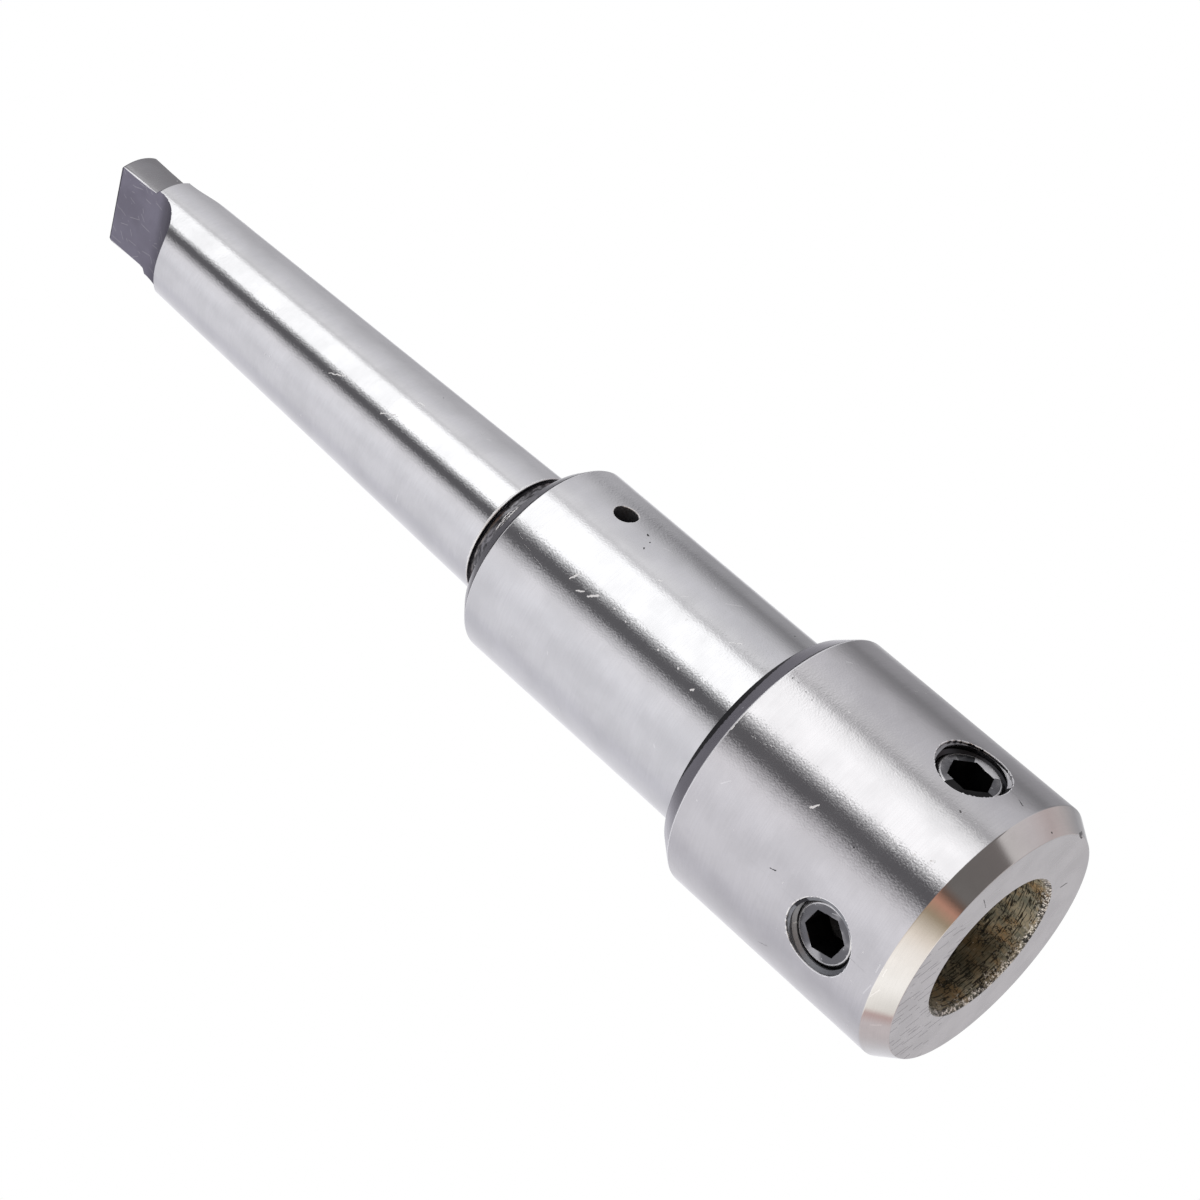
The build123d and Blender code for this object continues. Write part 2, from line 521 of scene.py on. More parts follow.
def makeShortScratches():
    # straight scratches lying in the surface, one to a cell, each with a turn and a length of its own
    group, given, out = newGroup("shortScratches", [("Scale", 250), ("Length", 0.4), ("Width", 0.02),
                                                    ("Presence", 0.3), ("Spread", 1.0), ("AcrossX", 0.1),
                                                    ("AcrossY", -0.1), ("AcrossZ", 0.45)], ["Mask"])
    place = objectPlace(group)
    facing = group.nodes.new("ShaderNodeNewGeometry").outputs["Normal"]
    scaled = vectorNode(group, "SCALE", place, scale=given.outputs["Scale"])
    cells = group.nodes.new("ShaderNodeTexVoronoi")
    cells.inputs["Scale"].default_value = 1.0
    group.links.new(scaled, cells.inputs["Vector"])
    offset = vectorNode(group, "SUBTRACT", scaled, cells.outputs["Position"])
    random = vectorNode(group, "SUBTRACT", cells.outputs["Color"], (0.5, 0.5, 0.5))
    random = vectorNode(group, "SCALE", random, scale=given.outputs["Spread"])
    mean = group.nodes.new("ShaderNodeCombineXYZ")
    for socket, label in zip(mean.inputs, ("AcrossX", "AcrossY", "AcrossZ")):
        group.links.new(given.outputs[label], socket)
    heading = vectorNode(group, "ADD", random, mean.outputs[0])
    across = vectorNode(group, "NORMALIZE", vectorNode(group, "CROSS_PRODUCT", heading, facing))
    along = vectorNode(group, "NORMALIZE", vectorNode(group, "CROSS_PRODUCT", facing, across))
    chance = splitNode(group, cells.outputs["Color"], "Color")
    sideways = mathNode(group, "ABSOLUTE", vectorNode(group, "DOT_PRODUCT", offset, along))
    endways = mathNode(group, "ABSOLUTE", vectorNode(group, "DOT_PRODUCT", offset, across))
    reach = times(group, given.outputs["Length"], chance.outputs[1])
    thin = mathNode(group, "LESS_THAN", sideways, given.outputs["Width"])
    short = mathNode(group, "LESS_THAN", endways, reach)
    kept = mathNode(group, "LESS_THAN", chance.outputs[0], given.outputs["Presence"])
    group.links.new(times(group, times(group, thin, short), kept), out.inputs["Mask"])
    return group


def makeNicks():
    # small dents and specks of dirt
    group, given, out = newGroup("nicks", [("Scale", 500), ("Size", 0.2), ("Presence", 0.1)], ["Mask"])
    place = objectPlace(group)
    wobble = noiseNode(group, place, 2600.0, output="Color")
    moved = vectorNode(group, "ADD", place, vectorNode(group, "SCALE", wobble, scale=0.0005))
    cells = group.nodes.new("ShaderNodeTexVoronoi")
    group.links.new(moved, cells.inputs["Vector"])
    group.links.new(given.outputs["Scale"], cells.inputs["Scale"])
    near = mathNode(group, "LESS_THAN", cells.outputs["Distance"], given.outputs["Size"])
    chance = splitNode(group, cells.outputs["Color"], "Color")
    kept = mathNode(group, "LESS_THAN", chance.outputs[0], given.outputs["Presence"])
    group.links.new(times(group, near, kept), out.inputs["Mask"])
    return group


def makeMark():
    # one scratch or speck between two points of the surface, in mm
    group, given, out = newGroup("mark", [("Width", 0.1)], ["Mask"])
    for label in ("Place", "From", "To"):
        group.interface.new_socket(name=label, in_out="INPUT", socket_type="NodeSocketVector")
    whole = vectorNode(group, "SUBTRACT", given.outputs["To"], given.outputs["From"])
    offset = vectorNode(group, "SUBTRACT", given.outputs["Place"], given.outputs["From"])
    share = mathNode(group, "DIVIDE", vectorNode(group, "DOT_PRODUCT", offset, whole),
                     vectorNode(group, "DOT_PRODUCT", whole, whole))
    share.node.use_clamp = True
    gap = vectorNode(group, "DISTANCE", offset, vectorNode(group, "SCALE", whole, scale=share))
    group.links.new(mathNode(group, "LESS_THAN", gap, given.outputs["Width"]), out.inputs["Mask"])
    return group


def makeArc():
    # a line round the axis at one height in mm, widest at its middle azimuth in degrees
    numbers = [("Height", 0), ("Reach", 0.2), ("Middle", 0), ("Spread", 30)]
    group, given, out = newGroup("arc", numbers, ["Mask"])
    group.interface.new_socket(name="Place", in_out="INPUT", socket_type="NodeSocketVector")
    split = splitNode(group, given.outputs["Place"])
    turn = mathNode(group, "DEGREES", mathNode(group, "ARCTAN2", split.outputs[1], split.outputs[0]))
    fromMiddle = minus(group, turn, given.outputs["Middle"])
    share = mathNode(group, "DIVIDE", fromMiddle, given.outputs["Spread"])
    fade = minus(group, 1.0, times(group, share, share))
    gap = mathNode(group, "ABSOLUTE", minus(group, split.outputs[2], given.outputs["Height"]))
    reach = times(group, given.outputs["Reach"], fade)
    group.links.new(mathNode(group, "LESS_THAN", gap, reach), out.inputs["Mask"])
    return group


def makeGrain():
    # the crystalline grain of ground steel, and slow cloudy changes
    group, given, out = newGroup("steelGrain", [("Scale", 4200)], ["Grain", "Waves", "Clouds"])
    place = objectPlace(group)
    group.links.new(noiseNode(group, place, given.outputs["Scale"], 1.0), out.inputs["Grain"])
    for label, part in (("Waves", 0.2), ("Clouds", 0.05)):
        coarse = times(group, given.outputs["Scale"], part)
        group.links.new(noiseNode(group, place, coarse, 3.0), out.inputs[label])
    return group


sharedEffects = {"lines": makeTurnedLines(), "scratches": makeShortScratches(), "nicks": makeNicks(),
                 "grain": makeGrain(), "mark": makeMark(), "arc": makeArc()}


def effect(tree, name, **values):
    node = tree.nodes.new("ShaderNodeGroup")
    node.node_tree = sharedEffects[name]
    for label, value in values.items():
        node.inputs[label].default_value = value
    return node


# finishes

steelFinishes = {
    "groundHead": {"base": (0.68, 0.67, 0.68), "roughness": 0.12, "brushTurn": 0.05},
    "groundShank": {"base": (0.73, 0.73, 0.74), "roughness": 0.1, "brushTurn": 0.04},
    "frontBevelSteel": {"base": (0.71, 0.7, 0.69), "roughness": 0.1, "nickPresence": 0.04,
                        "scratchPresence": 0.06, "waveDepth": 0.0, "grainDepth": 1.2},
    # the back bevels of the head and the collar: the same steel given a darker colour as painted shade; the
    # collar's also carries a painted highlight
    "headBevelPaintedShadeSteel": {"base": (0.36, 0.35, 0.385), "roughness": 0.2},
    "collarBevelPaintedLightSteel": {"base": (0.27, 0.265, 0.285), "roughness": 0.2},
    "faceSteel": {"base": (0.655, 0.675, 0.68), "roughness": 0.24, "waveDepth": 0.0},
    "scratchedFace": {"base": (0.655, 0.675, 0.68), "roughness": 0.24, "waveDepth": 0.0,
                      "scratchPresence": 0.9, "scratchScale": 520, "scratchLength": 1.5,
                      "scratchSpread": 0.12, "scratchTone": 0.65,
                      "scratchAcross": (0.257, 0.966, 0.0), "scratchWidth": 0.055,
                      "scratchShade": (0.36, 0.36, 0.38)},
    # the neck groove: the steel given a darker colour as painted shade in the recess, with many bright nicks
    "neckPaintedShadeSteel": {"base": (0.15, 0.147, 0.156), "roughness": 0.26, "linesAlong": 3600, "linesAround": 9.0,
                  "linesDepth": 36.0, "linesTone": 0.6, "nickPresence": 0.9, "nickTone": 0.95,
                  "scratchPresence": 0.0},
    "tangFlatSteel": {"base": (0.225, 0.214, 0.263), "roughness": 0.35, "scratchPresence": 0.7,
                      "scratchScale": 640, "scratchLength": 0.9, "scratchSpread": 2.0, "linesDepth": 0.0,
                      "scratchAcross": (0.0, 1.0, -0.27), "scratchTone": 0.32, "grainDepth": 5.0,
                      "nickPresence": 0.06},
    "tangSideSteel": {"base": (0.31, 0.305, 0.315), "roughness": 0.26, "linesDepth": 0.4, "nickPresence": 0.8,
                      "nickTone": 0.8},
    "drilledSteel": {"base": (0.3, 0.31, 0.33), "roughness": 0.48, "linesDepth": 1.0, "grainDepth": 14.0},
    # black painted shade on the rounded corner at the back of the head
    "paintedShadeCorner": {"base": (0.02, 0.02, 0.022), "roughness": 0.4, "nickPresence": 0.05},
    # black painted shade for the screw holes' threads and dark mouths, with a few bright nicks
    "paintedShadeThread": {"base": (0.05, 0.05, 0.055), "roughness": 0.34, "linesDepth": 1.0, "nickPresence": 0.3},
    # worn bright edges that also carry painted highlights: bright lines along rounded edges, and a lit side in
    # the +Y screw hole
    "wornEdgeAndHighlight": {"base": (0.97, 0.97, 0.98), "roughness": 0.42, "nickPresence": 0.4},
    # a painted highlight: a white, matte ring round the coolant hole
    "paintedHighlightRim": {"base": (1.0, 1.0, 1.0), "roughness": 0.6, "metallic": 0.0},
}
steelDefaults = {
    "metallic": 1.0,
    "linesAlong": 5200,
    "linesAround": 3.0,
    "linesDepth": 0.22,      # in micrometres
    "linesTone": 0.015,
    "brushTurn": 0.0,
    "scratchShade": (0.9, 0.9, 0.9),
    "grainScale": 4200,
    "grainDepth": 9.0,       # in micrometres
    "waveDepth": 8.0,        # in micrometres
    "scratchScale": 240,
    "scratchLength": 0.25,
    "scratchWidth": 0.02,
    "scratchAcross": (0.1, -0.1, 0.45),
    "scratchSpread": 1.0,
    "scratchPresence": 0.08,
    "scratchTone": 0.45,
    "nickPresence": 0.2,
    "nickSize": 0.065,
    "nickTone": 0.6,
    "dirtPresence": 0.02,
}


# single scratches, chips and specks: start, end (a speck has none) and half width in mm
brightMarks = {
    "groundShank": [
        ((10.38, 9.02, 64.11), (9.58, 9.86, 63.61), 0.11), ((10.74, 8.58, 62.44), (10.43, 8.96, 61.59), 0.11),
        ((10.51, 8.87, 60.74), (9.93, 9.52, 59.85), 0.14), ((10.32, 9.09, 73.31), (10.52, 8.85, 72.27), 0.025),
        ((10.69, 8.65, 71.72), (10.8, 8.51, 70.58), 0.02), ((10.88, 8.4, 69.73), (11.09, 8.13, 68.14), 0.02),
        ((4.74, 12.91, 43.83), (3.87, 13.2, 42.77), 0.08),
        ((4.74, 12.91, 56.23), (4.42, 13.02, 55.73), 0.07), ((6.28, 5.65, 102.3), (5.62, 6.36, 100.58), 0.08),
        ((6.28, 5.7, 100.79), (5.57, 6.42, 100.18), 0.09), ((2.82, 8.02, 99.91), (2.61, 8.12, 99.02), 0.08),
        ((6.43, 5.09, 112.23), (5.78, 5.89, 110.05), 0.08), ((9.85, 9.59, 57.1), 0.12),
        ((10.08, 9.36, 54.84), 0.11), ((10.07, 9.37, 49.3), 0.13),
        ((10.08, 9.36, 45.82), 0.12), ((10.72, 8.62, 42.84), (10.6, 8.76, 42.6), 0.12),
    ],
    "groundHead": [
        ((14.8, 10.68, 20.47), (14.35, 11.28, 19.9), 0.12), ((12.45, 13.34, 7.8), 0.14),
        ((11.94, 13.8, 5.96), 0.13), ((13.76, 11.99, 31.47), (13.68, 12.08, 29.98), 0.02),
        ((13.68, 12.08, 29.98), (13.15, 12.66, 27.98), 0.02),
    ],
}
darkMarks = {
    "groundShank": [
        ((0.34, 13.75, 62.52), (0.5, 13.75, 62.3), 0.13), ((1.19, 13.7, 61.27), 0.12),
        ((2.65, 13.49, 60.84), (2.5, 13.52, 61.0), 0.1), ((-0.57, 8.51, 98.91), 0.11),
    ],
    "groundHead": [
        ((14.91, 10.52, 13.61), 0.1), ((16.24, -8.32, 18.91), (16.65, -7.46, 17.29), 0.04),
        ((18.03, 2.84, 20.39), (17.99, 3.07, 19.58), 0.07), ((-0.68, 18.24, 5.25), (-0.31, 18.25, 4.35), 0.05),
        ((7.07, 16.83, 33.12), 0.09), ((7.05, 16.84, 32.34), 0.08),
        ((7.33, 16.71, 30.74), 0.09), ((7.58, 16.6, 29.5), 0.08),
    ],
    "frontBevelSteel": [
        ((-2.1, 16.58, 0.6), 0.12), ((-8.54, 13.94, 0.08), (-9.79, 13.44, 0.48), 0.22),
    ],
    "faceSteel": [
        ((-8.54, 13.94, 0.08), (-9.3, 13.3, 0.0), 0.2), ((-10.59, 4.89, 0), (-11.69, 5.04, 0), 0.12),
        ((8.13, 11.39, 0), (6.6, 9.45, 0), 0.05),
    ],
}

# lines along a turned edge, painted highlights and painted shade: height and reach in mm, middle and half
# spread in degrees
# painted highlights: bright lines along the head's and taper's edges, a lighter patch on the collar's bevel
# and glints in the neck
paintedHighlightArcs = {
    "groundHead": [(33.95, 0.16, 42, 9)],
    "groundShank": [(80.3, 0.13, 40, 60)],
    "collarBevelPaintedLightSteel": [(75.8, 1.2, 53, 11)],
    "neckPaintedShadeSteel": [(77.8, 0.09, 56, 8), (78.0, 0.09, 50, 12), (78.2, 0.1, 60, 8), (78.4, 0.1, 46, 10),
                  (78.6, 0.09, 55, 9), (78.8, 0.1, 43, 8), (78.95, 0.08, 52, 8), (79.1, 0.08, 38, 8),
                  (79.3, 0.07, 46, 6)],
}
# painted shade: dark lines along the head's back bevel and the collar's bevel
paintedShadeArcs = {
    "headBevelPaintedShadeSteel": [(36.6, 1.0, 43, 42), (34.1, 0.22, 88, 24)],
    "collarBevelPaintedLightSteel": [(75.0, 0.22, 55, 50), (76.6, 0.16, 30, 60)],
}
# strength of the painted highlight on the collar's bevel
paintedHighlightTones = {"collarBevelPaintedLightSteel": 0.22}


def markMask(tree, place, marks, arcs):
    nodes = [effect(tree, "mark", Width=width, From=start, To=end[0] if end else start)
             for start, *end, width in marks]
    nodes += [effect(tree, "arc", Height=height, Reach=reach, Middle=middle, Spread=spread)
              for height, reach, middle, spread in arcs]
    mask = None
    for node in nodes:
        tree.links.new(place, node.inputs["Place"])
        mask = node.outputs[0] if mask is None else mathNode(tree, "MAXIMUM", mask, node.outputs[0])
    return mask


def steelMaterial(name):
    s = {**steelDefaults, **steelFinishes[name]}
    material, tree, shader = newMaterial(name)
    lines = effect(tree, "lines", Along=s["linesAlong"], Around=s["linesAround"])
    grain = effect(tree, "grain", Scale=s["grainScale"])
    scratches = effect(tree, "scratches", Scale=s["scratchScale"], Length=s["scratchLength"],
                       Width=s["scratchWidth"], Presence=s["scratchPresence"], Spread=s["scratchSpread"])
    for label, value in zip(("AcrossX", "AcrossY", "AcrossZ"), s["scratchAcross"]):
        scratches.inputs[label].default_value = value
    nicks = effect(tree, "nicks", Size=s["nickSize"], Presence=s["nickPresence"])
    dirt = effect(tree, "nicks", Scale=310, Size=0.05, Presence=s["dirtPresence"])
    base = s["base"]
    darker = tuple(value * (1 - s["linesTone"]) for value in base)
    lighter = tuple(min(1.0, value * (1 + s["linesTone"])) for value in base)
    colour = mixColour(tree, mapRange(tree, lines.outputs["Lines"], 0.35, 0.65), darker, lighter)
    cloudy = mapRange(tree, grain.outputs["Clouds"], 0.35, 0.7, 0.0, 0.45)
    colour = mixColour(tree, cloudy, colour, tuple(value * 0.82 for value in base))
    marked = times(tree, scratches.outputs["Mask"], s["scratchTone"])
    colour = mixColour(tree, marked, colour, s["scratchShade"])
    dented = times(tree, nicks.outputs["Mask"], s["nickTone"])
    colour = mixColour(tree, dented, colour, (0.95, 0.95, 0.95))
    colour = mixColour(tree, times(tree, dirt.outputs["Mask"], 0.75), colour, (0.05, 0.045, 0.045))
    place = objectPlace(tree)
    ragged = noiseNode(tree, place, 3000.0, output="Color")
    ragged = vectorNode(tree, "SUBTRACT", ragged, (0.5, 0.5, 0.5))
    ragged = vectorNode(tree, "SCALE", ragged, scale=0.35)
    inMm = vectorNode(tree, "ADD", vectorNode(tree, "SCALE", place, scale=1 / mm), ragged)
    # bright marks of wear, and painted highlight lines
    bright = markMask(tree, inMm, brightMarks.get(name, []), paintedHighlightArcs.get(name, []))
    if bright:
        bright = times(tree, bright, paintedHighlightTones.get(name, 1.0))
        colour = mixColour(tree, bright, colour, (0.98, 0.98, 0.98))
    # dark marks of wear and dirt, and painted shade lines
    dark = markMask(tree, inMm, darkMarks.get(name, []), paintedShadeArcs.get(name, []))
    if dark:
        colour = mixColour(tree, times(tree, dark, 0.92), colour, (0.01, 0.01, 0.01))
    tree.links.new(colour, shader.inputs["Base Color"])
    shader.inputs["Metallic"].default_value = s["metallic"]
    low, high = s["roughness"] * 0.8, s["roughness"] * 1.25
    roughness = mapRange(tree, grain.outputs["Clouds"], 0.3, 0.7, low, high)
    for mask, share in ((scratches, 0.15), (nicks, 0.25)):
        roughness = plus(tree, roughness, times(tree, mask.outputs["Mask"], share))
    if bright:
        roughness = plus(tree, roughness, times(tree, bright, 0.5))
    tree.links.new(roughness, shader.inputs["Roughness"])
    relief = times(tree, lines.outputs["Lines"], s["linesDepth"])
    for label, depth in (("Grain", s["grainDepth"]), ("Waves", s["waveDepth"])):
        relief = plus(tree, relief, times(tree, grain.outputs[label], depth))
    for mask, depth in ((scratches, 2.0), (nicks, 4.0)):
        relief = minus(tree, relief, times(tree, mask.outputs["Mask"], depth))
    normal = bumpNormal(tree, relief, 0.001)
    if s["brushTurn"]:
        # each grinding line leans a little round the axis, so that reflections end in a fringe
        around = vectorNode(tree, "NORMALIZE", vectorNode(tree, "CROSS_PRODUCT", (0, 0, 1), place))
        lean = times(tree, minus(tree, lines.outputs["Lines"], 0.5), s["brushTurn"])
        normal = vectorNode(tree, "NORMALIZE", vectorNode(tree, "ADD", normal, vectorNode(
            tree, "SCALE", around, scale=lean)))
    tree.links.new(normal, shader.inputs["Normal"])
    return material


boreFinish = {
    "olive": (0.4, 0.41, 0.33),
    "pale": (0.8, 0.73, 0.55),
    "rust": (0.72, 0.5, 0.26),
    "crack": (0.015, 0.015, 0.012),
    "fleck": (0.95, 0.93, 0.86),
    "stainScale": 620.0,
    "crackScale": 260.0,
    "fleckScale": 2600.0,
    "mouth": 2.5,
    "rimDark": 1.0,
    # colour of the painted shade on one side of the bore
    "shade": (0.07, 0.07, 0.045),
    "streakAlong": 4800,
    "streakAround": 5.0,
    "darkAcross": (-0.643, 0.766, 0.0),
    "darkFrom": (0.0, 0.0025),
    "darkTo": (-0.0055, -0.0035),
    "darkDepth": (0.0002, 0.003),
    "darkShare": 0.68,
    "darkLeast": 0.8,
    "fleckLimits": (0.52, 0.67),
    "metallic": 0.25,
}


def boreMaterial():
    # oily, stained wall of the bore with worn bright flecks, thickest near the mouth
    s = boreFinish
    material, tree, shader = newMaterial("oilyBore")
    place = objectPlace(tree)
    drawn = vectorNode(tree, "MULTIPLY", place, (1, 1, 0.45))
    stain = noiseNode(tree, drawn, s["stainScale"], 6.0, 0.7)
    colour = mixColour(tree, mapRange(tree, stain, 0.4, 0.58), s["olive"], s["pale"])
    rust = noiseNode(tree, vectorNode(tree, "ADD", drawn, (0.05, 0.02, 0.01)), 240.0, 5.0, 0.7)
    colour = mixColour(tree, mapRange(tree, rust, 0.52, 0.66, 0.0, 0.85), colour, s["rust"])
    streaks = effect(tree, "lines", Along=s["streakAlong"], Around=s["streakAround"])
    streaky = mapRange(tree, streaks.outputs["Lines"], 0.4, 0.5, 0.94, 0.0)
    colour = mixColour(tree, streaky, colour, s["crack"])
    split = splitNode(tree, place)
    # painted shade: one side of the bore darkened towards the shade colour, fading in from the mouth
    across = vectorNode(tree, "DOT_PRODUCT", place, s["darkAcross"])
    paintedShadeSide = times(tree, mapRange(tree, across, *s["darkFrom"], s["darkShare"], 0.0),
                     mapRange(tree, across, *s["darkTo"], s["darkLeast"], 1.0))
    paintedShadeSide = times(tree, paintedShadeSide, mapRange(tree, split.outputs[2], *s["darkDepth"]))
    colour = mixColour(tree, paintedShadeSide, colour, s["shade"])
    crazed = noiseNode(tree, place, s["crackScale"], 5.0, 0.75)
    nearLine = mathNode(tree, "ABSOLUTE", minus(tree, crazed, 0.5))
    dark = mapRange(tree, nearLine, 0.004, 0.022, 0.95, 0.0)
    colour = mixColour(tree, dark, colour, s["crack"])
    sparkle = noiseNode(tree, place, s["fleckScale"], 3.0, 0.75)
    rim = mapRange(tree, split.outputs[2], s["rimDark"] * mm, 0.0, 0.0, 0.85)
    colour = mixColour(tree, rim, colour, s["crack"])
    limit = mapRange(tree, split.outputs[2], 0.0, s["mouth"] * mm, *s["fleckLimits"])
    fleck = mapRange(tree, minus(tree, sparkle, limit), 0.0, 0.03)
    colour = mixColour(tree, fleck, colour, s["fleck"])
    tree.links.new(colour, shader.inputs["Base Color"])
    shader.inputs["Metallic"].default_value = s["metallic"]
    tree.links.new(mapRange(tree, stain, 0.3, 0.7, 0.5, 0.3), shader.inputs["Roughness"])
    relief = times(tree, stain, 50.0)
    relief = minus(tree, relief, times(tree, dark, 25.0))
    relief = plus(tree, relief, times(tree, sparkle, 12.0))
    tree.links.new(bumpNormal(tree, relief, 0.001), shader.inputs["Normal"])
    return material


oxideFinishes = {
    "blackOxide": {"base": (0.045, 0.046, 0.05), "worn": (0.32, 0.32, 0.33), "wear": 0.35, "roughness": 0.32},
    "wornOxide": {"base": (0.15, 0.15, 0.16), "worn": (0.62, 0.62, 0.63), "wear": 0.7, "roughness": 0.28},
    # worn rims of the screw faces, which also carry painted highlights
    "rubbedRimAndHighlight": {"base": (0.75, 0.75, 0.76), "worn": (0.95, 0.95, 0.95), "wear": 0.6, "roughness": 0.35},
    # black oxide in the hex socket, made darker still as painted shade in the recess
    "paintedShadeSocket": {"base": (0.012, 0.012, 0.013), "worn": (0.06, 0.06, 0.06), "wear": 0.3, "roughness": 0.5},
}


def oxideMaterial(name):
    s = oxideFinishes[name]
    material, tree, shader = newMaterial(name)
    grain = effect(tree, "grain", Scale=6000)
    scratches = effect(tree, "scratches", Scale=900, Width=0.04, Presence=0.35)
    rubbed = times(tree, mapRange(tree, grain.outputs["Clouds"], 0.45, 0.7), s["wear"])
    colour = mixColour(tree, rubbed, s["base"], s["worn"])
    colour = mixColour(tree, times(tree, scratches.outputs["Mask"], s["wear"]), colour, s["worn"])
    tree.links.new(colour, shader.inputs["Base Color"])
    shader.inputs["Metallic"].default_value = 0.9
    roughness = mapRange(tree, grain.outputs["Grain"], 0.3, 0.7, s["roughness"] * 0.85, s["roughness"] * 1.2)
    tree.links.new(roughness, shader.inputs["Roughness"])
    tree.links.new(bumpNormal(tree, grain.outputs["Grain"], 0.002), shader.inputs["Normal"])
    return material


finishes = {name: steelMaterial(name) for name in steelFinishes}
finishes["oilyBore"] = boreMaterial()
finishes.update({name: oxideMaterial(name) for name in oxideFinishes})
print("finishes", len(finishes))


def paint(piece, choose):
    # one material slot for each finish in use, picked face by face
    mesh = piece.data
    mesh.materials.clear()
    slots = {}
    for face in mesh.polygons:
        name = choose(face.center / mm, face.normal)
        if name not in slots:
            slots[name] = len(slots)
            mesh.materials.append(finishes[name])
        face.material_index = slots[name]


def holeFinish(centre):
    # the walls and threads of the screw holes: on +X grey with black painted shade at the mouth, on +Y black
    # painted shade, with a painted highlight on one side and a painted lit grey patch on another near the
    # mouth
    if centre.x > centre.y:
        turn = math.degrees(math.atan2(centre.z - screwSizes["height"], centre.y))
        # black painted shade at the mouth on one side
        return "paintedShadeThread" if centre.x > 17.75 and 5 < turn < 75 else "drilledSteel"
    turn = math.degrees(math.atan2(centre.z - screwSizes["height"], centre.x)) % 360
    # painted highlight
    if centre.y > 17.3 and 180 < turn < 245:
        return "wornEdgeAndHighlight"
    # painted lit grey patch
    if centre.y > 17.55 and 50 < turn < 130:
        return "tangSideSteel"
    # black painted shade
    return "paintedShadeThread"


def bodyFinish(centre, normal):
    s = bodySizes
    radius = centre.xy.length
    height = centre.z
    outward = (centre.x * normal.x + centre.y * normal.y) / max(radius, 0.001)
    boreRadius = mounts["shank_bore"]["dims"]["r_mm"]
    for across, up in ((centre.y, centre.x), (centre.x, centre.y)):
        fromHole = math.hypot(across, height - s["screwHeight"])
        if up > 0 and radius > boreRadius and fromHole < s["screwHoleRadius"] + s["rimEdge"] + 0.03:
            # the rim's rounding: worn, with a painted highlight
            if fromHole > s["screwHoleRadius"] + 0.02:
                return "wornEdgeAndHighlight"
            return holeFinish(centre)
    fromCoolant = math.hypot(centre.x, height - s["coolantHeight"])
    coolantRadius = mounts["coolant_hole"]["dims"]["r_mm"]
    # the coolant hole's rim carries a painted highlight
    if centre.y > 0 and fromCoolant < coolantRadius + s["coolantEdge"] + 0.03:
        return "paintedHighlightRim" if fromCoolant > coolantRadius + 0.01 else "drilledSteel"
    if radius < boreRadius + 0.02 and s["mouthBevel"] < height < s["pilotEnd"] + 5 and outward < 0.5:
        return "oilyBore"
    if height < s["mouthBevel"] + 0.1 and radius < boreRadius + s["mouthBevel"] and outward < -0.2:
        return "oilyBore"
    if height < 0.35 and normal.z < -0.85:
        return "scratchedFace" if -75 < math.degrees(math.atan2(centre.y, centre.x)) < 40 else "faceSteel"
    if height < s["frontBevel"] + 0.2 and normal.z < -0.3:
        return "frontBevelSteel"
    headEdge = s["headLength"] - s["backBevel"]
    if height < headEdge + 0.25 and normal.z < 0.1 or height < headEdge - 0.3:
        return "groundHead"
    if height < s["headLength"] + 0.05 and radius > s["collarRadius"]:
        # painted shade: a black line on the rounded corner at the head's back
        if s["headLength"] - s["backEdge"] < height < s["headLength"] - 0.005 and normal.z > 0.65:
            return "paintedShadeCorner"
        # the head's back bevel, darker as painted shade
        return "wornEdgeAndHighlight" if height < headEdge + 0.3 and normal.z < 0.4 else "headBevelPaintedShadeSteel"
    collarEdge = s["collarEnd"] - s["collarBevel"]
    if height < collarEdge + 0.25 and normal.z < 0.1 or height < collarEdge - 0.3:
        return "groundShank"
    if height < s["collarEnd"] + 0.01 and radius > s["collarBackRadius"] - 0.4:
        # the collar's back bevel, darker as painted shade
        return "wornEdgeAndHighlight" if height < collarEdge + 0.3 and normal.z < 0.42 else "collarBevelPaintedLightSteel"
    inGroove = radius < s["taperRadius"] - 0.16 or height < s["taperStart"] - 0.1
    # the neck groove, painted shade
    if height < s["taperStart"] + 0.25 and inGroove:
        return "neckPaintedShadeSteel"
    # the taper's front edge: worn, with a painted highlight line
    if height < s["taperStart"] + 0.25 and normal.z < -0.15:
        return "wornEdgeAndHighlight"
    if height > bodyTop - s["tangFlat"] - s["cutterRadius"] - 0.2:
        turn = math.radians(s["tangTurn"])
        facing = abs(normal.x * math.cos(turn) + normal.y * math.sin(turn))
        onRunOut = normal.z > 0.05 and facing > 0.3 and height < bodyTop - 0.5
        if abs(normal.z) < 0.2 and facing > 0.97 or onRunOut:
            return "tangFlatSteel"
        if height > bodyTop - s["tangTurned"]:
            return "wornEdgeAndHighlight" if facing > 0.6 and normal.z < 0.5 else "tangSideSteel"
    return "groundShank"


